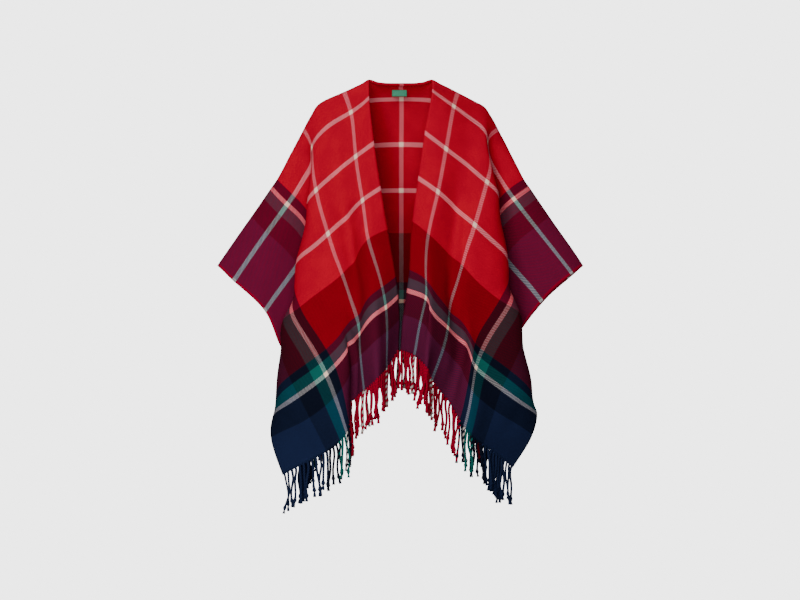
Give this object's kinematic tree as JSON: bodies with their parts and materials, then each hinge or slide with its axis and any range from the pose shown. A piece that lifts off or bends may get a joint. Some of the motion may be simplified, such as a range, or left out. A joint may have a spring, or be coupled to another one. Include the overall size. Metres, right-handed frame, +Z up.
{
  "type": "cape",
  "caption": "Open-front plaid cape cut as a woven rectangle with fringed hems, filled out and hanging from the shoulders, its neck, front, sides and hem open.",
  "frame": {"origin": "middle of the neck, level with the two neck corners of the shoulder line, where the wearer's shoulders hold the cape", "axes": "+Z up, -Y to the front of the cape, +X along the shoulders to the right of the picture"},
  "size_m": [0.9186, 0.4969, 1.0881],
  "materials": {
    "plaid_cloth": "soft brushed twill, matt",
    "fringe_yarn": "twisted yarn, matt",
    "label": "woven ribbon with a slight sheen"
  },
  "bodies": {
    "root": {"cape_cloth": "plaid_cloth", "neck_hem": "plaid_cloth", "neck_label": "label", "fringe_front_left": "fringe_yarn", "fringe_front_right": "fringe_yarn", "fringe_back": "fringe_yarn"}
  },
  "joints": []
}
